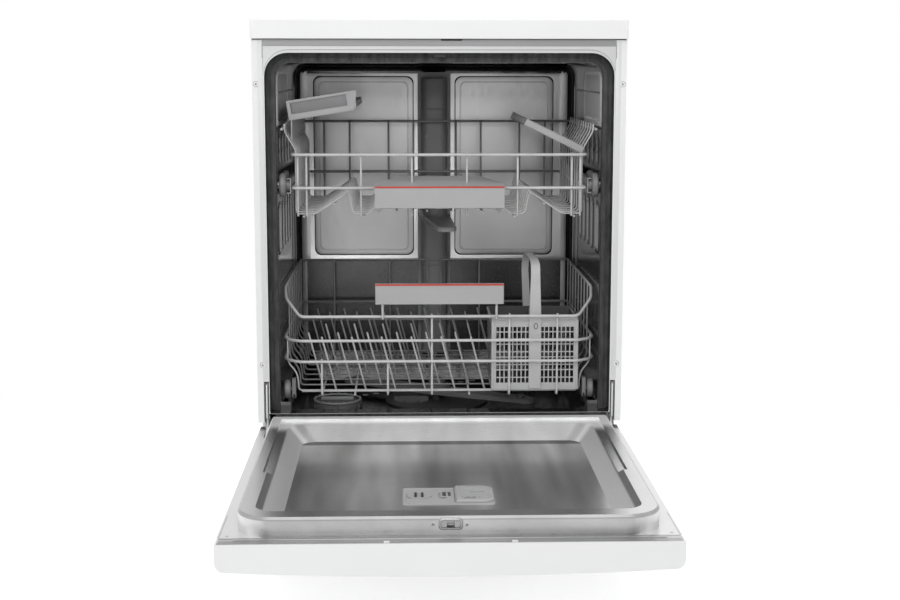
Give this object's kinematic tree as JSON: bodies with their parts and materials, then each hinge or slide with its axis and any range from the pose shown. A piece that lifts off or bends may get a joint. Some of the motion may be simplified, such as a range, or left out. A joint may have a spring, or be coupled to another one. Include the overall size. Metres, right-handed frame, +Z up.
{
  "type": "freestanding dishwasher",
  "caption": "White freestanding dishwasher with drop-down door, steel tub, two sliding wire racks, cup shelves, cutlery basket and turning spray arms.",
  "frame": {"origin": "centre of the footprint on the floor, with the door open", "axes": "+Z up, front faces -Y, +X to the right seen from the front"},
  "size_m": [0.6, 1.155, 0.845],
  "materials": {
    "white_laminate": "satin laminate",
    "white_steel": "white enamel",
    "white_plastic": "satin",
    "zinc": "zinc plated",
    "galvanised": "galvanised",
    "stainless": "bright rolled",
    "black_rubber": "matte",
    "black_plastic": "moulded",
    "dark_plastic": "moulded",
    "grey_plastic": "moulded",
    "mid_grey_plastic": "moulded",
    "light_grey_plastic": "moulded",
    "handle_plastic": "moulded",
    "coated_wire": "grey nylon coating",
    "dark_glass": "tinted",
    "board_plastic": "moulded case",
    "dispenser_plastic": "moulded"
  },
  "bodies": {
    "cabinet": {"worktop": "white_laminate", "side_panel_right": "white_steel", "side_panel_left": "white_steel", "front_screws": "zinc", "rear_panel": "galvanised", "front_crossbar": "white_steel", "tub": "stainless", "tub_gasket": "black_rubber", "lip_seal": "black_rubber", "feed_channel": "dark_plastic", "base_tray": "black_plastic", "plinth": "white_steel", "hinge_brackets": "galvanised", "door_strike": "stainless", "sump": "dark_plastic", "softener": "grey_plastic", "circulation_pump": "black_plastic", "drain_pump": "black_plastic", "inlet_valve": "grey_plastic", "drain_spigot": "grey_plastic", "power_inlet": "black_plastic", "roller_axles": "stainless"},
    "foot_fl": {"foot_front_left": "black_plastic"},
    "foot_fr": {"foot_front_right": "black_plastic"},
    "foot_rl": {"foot_rear_left": "black_plastic"},
    "foot_rr": {"foot_rear_right": "black_plastic"},
    "front_rollers": {"front_rollers": "light_grey_plastic"},
    "rear_rollers": {"rear_rollers": "light_grey_plastic"},
    "filter": {"filter_cup": "grey_plastic"},
    "salt_cap": {"salt_cap": "grey_plastic"},
    "lower_arm": {"lower_spray_arm": "mid_grey_plastic"},
    "door": {"door_outer_panel": "white_steel", "control_fascia": "white_plastic", "door_liner": "stainless", "display_window": "dark_glass", "control_board": "board_plastic", "hinge_arms": "white_steel", "door_latch": "dark_plastic", "detergent_dispenser": "dispenser_plastic"},
    "latch_hook": {"latch_hook": "zinc"},
    "detergent_lid": {"detergent_lid": "dispenser_plastic"},
    "rinse_aid_cap": {"rinse_aid_cap": "dispenser_plastic"},
    "power_button": {"power_button": "white_plastic"},
    "programme_button": {"programme_button": "white_plastic"},
    "start_button": {"start_button": "white_plastic"},
    "upper_rack": {"upper_rack_frame": "coated_wire", "upper_rack_floor": "coated_wire", "upper_rack_handle": "handle_plastic", "upper_rack_rails": "stainless", "feed_pipe": "mid_grey_plastic"},
    "upper_arm": {"upper_spray_arm": "mid_grey_plastic"},
    "shelf_left": {"cup_shelf_left": "light_grey_plastic"},
    "shelf_right": {"cup_shelf_right": "light_grey_plastic"},
    "lower_rack": {"lower_rack_frame": "coated_wire", "lower_rack_floor": "coated_wire", "lower_rack_handle": "handle_plastic", "wheel_carriers": "light_grey_plastic"},
    "front_wheels": {"front_wheels": "mid_grey_plastic"},
    "rear_wheels": {"rear_wheels": "mid_grey_plastic"},
    "basket": {"cutlery_basket": "light_grey_plastic"}
  },
  "joints": [
    {"name": "door_hinge", "type": "hinge", "parent": "cabinet", "child": "door", "pos_m": [0, 0.036, 0.1965], "axis": [1, 0, 0], "range_deg": [-90, 0]},
    {"name": "upper_rack_slide", "type": "slide", "parent": "cabinet", "child": "upper_rack", "axis": [0, -1, 0], "range_m": [0, 0.35]},
    {"name": "lower_rack_slide", "type": "slide", "parent": "cabinet", "child": "lower_rack", "axis": [0, -1, 0], "range_m": [0, 0.48]},
    {"name": "front_roller_spin", "type": "hinge", "parent": "cabinet", "child": "front_rollers", "pos_m": [0, 0.064, 0.5795], "axis": [1, 0, 0], "continuous": true},
    {"name": "rear_roller_spin", "type": "hinge", "parent": "cabinet", "child": "rear_rollers", "pos_m": [0, 0.124, 0.5795], "axis": [1, 0, 0], "continuous": true},
    {"name": "front_wheel_spin", "type": "hinge", "parent": "lower_rack", "child": "front_wheels", "pos_m": [0, 0.0755, 0.2359], "axis": [1, 0, 0], "continuous": true},
    {"name": "rear_wheel_spin", "type": "hinge", "parent": "lower_rack", "child": "rear_wheels", "pos_m": [0, 0.4275, 0.2359], "axis": [1, 0, 0], "continuous": true},
    {"name": "lower_arm_spin", "type": "hinge", "parent": "cabinet", "child": "lower_arm", "pos_m": [0, 0.2725, 0.19], "axis": [0, 0, 1], "continuous": true},
    {"name": "upper_arm_spin", "type": "hinge", "parent": "upper_rack", "child": "upper_arm", "pos_m": [0, 0.2725, 0.505], "axis": [0, 0, 1], "continuous": true},
    {"name": "shelf_left_fold", "type": "hinge", "parent": "upper_rack", "child": "shelf_left", "pos_m": [-0.25735, 0.2675, 0.67], "axis": [0, -1, 0], "range_deg": [0, 15]},
    {"name": "shelf_right_fold", "type": "hinge", "parent": "upper_rack", "child": "shelf_right", "pos_m": [0.2395, 0.2675, 0.6295], "axis": [0, 1, 0], "range_deg": [0, 60]},
    {"name": "basket_lift", "type": "slide", "parent": "lower_rack", "child": "basket", "axis": [0, 0, 1], "range_m": [0, 0.04]},
    {"name": "filter_turn", "type": "hinge", "parent": "cabinet", "child": "filter", "pos_m": [-0.046, 0.2655, 0.172], "axis": [0, 0, 1], "range_deg": [0, 60]},
    {"name": "salt_cap_turn", "type": "hinge", "parent": "cabinet", "child": "salt_cap", "pos_m": [-0.178, 0.2255, 0.18], "axis": [0, 0, 1], "continuous": true},
    {"name": "latch_hook_turn", "type": "hinge", "parent": "door", "child": "latch_hook", "pos_m": [0, -0.5347, 0.185], "axis": [1, 0, 0], "range_deg": [0, 12]},
    {"name": "detergent_lid_slide", "type": "slide", "parent": "door", "child": "detergent_lid", "axis": [0, 1, 0], "range_m": [0, 0.045]},
    {"name": "rinse_aid_turn", "type": "hinge", "parent": "door", "child": "rinse_aid_cap", "pos_m": [-0.038, -0.3985, 0.187], "axis": [0, 0, 1], "range_deg": [0, 90]},
    {"name": "power_button_press", "type": "slide", "parent": "door", "child": "power_button", "axis": [0, 0, 1], "range_m": [0, 0.0012], "stiffness_N_per_m": 400},
    {"name": "programme_button_press", "type": "slide", "parent": "door", "child": "programme_button", "axis": [0, 0, 1], "range_m": [0, 0.0012], "stiffness_N_per_m": 400},
    {"name": "start_button_press", "type": "slide", "parent": "door", "child": "start_button", "axis": [0, 0, 1], "range_m": [0, 0.0012], "stiffness_N_per_m": 400},
    {"name": "foot_fl_turn", "type": "hinge", "parent": "cabinet", "child": "foot_fl", "pos_m": [-0.262, 0.1295, 0.02], "axis": [0, 0, 1], "continuous": true},
    {"name": "foot_fr_turn", "type": "hinge", "parent": "cabinet", "child": "foot_fr", "pos_m": [0.262, 0.1295, 0.02], "axis": [0, 0, 1], "continuous": true},
    {"name": "foot_rl_turn", "type": "hinge", "parent": "cabinet", "child": "foot_rl", "pos_m": [-0.262, 0.5125, 0.02], "axis": [0, 0, 1], "continuous": true},
    {"name": "foot_rr_turn", "type": "hinge", "parent": "cabinet", "child": "foot_rr", "pos_m": [0.262, 0.5125, 0.02], "axis": [0, 0, 1], "continuous": true}
  ],
  "couplings": [
    {"joint": "front_roller_spin", "follows": "upper_rack_slide", "rad_per_m": 94.34},
    {"joint": "rear_roller_spin", "follows": "upper_rack_slide", "rad_per_m": 94.34},
    {"joint": "front_wheel_spin", "follows": "lower_rack_slide", "rad_per_m": 62.5},
    {"joint": "rear_wheel_spin", "follows": "lower_rack_slide", "rad_per_m": 62.5}
  ]
}
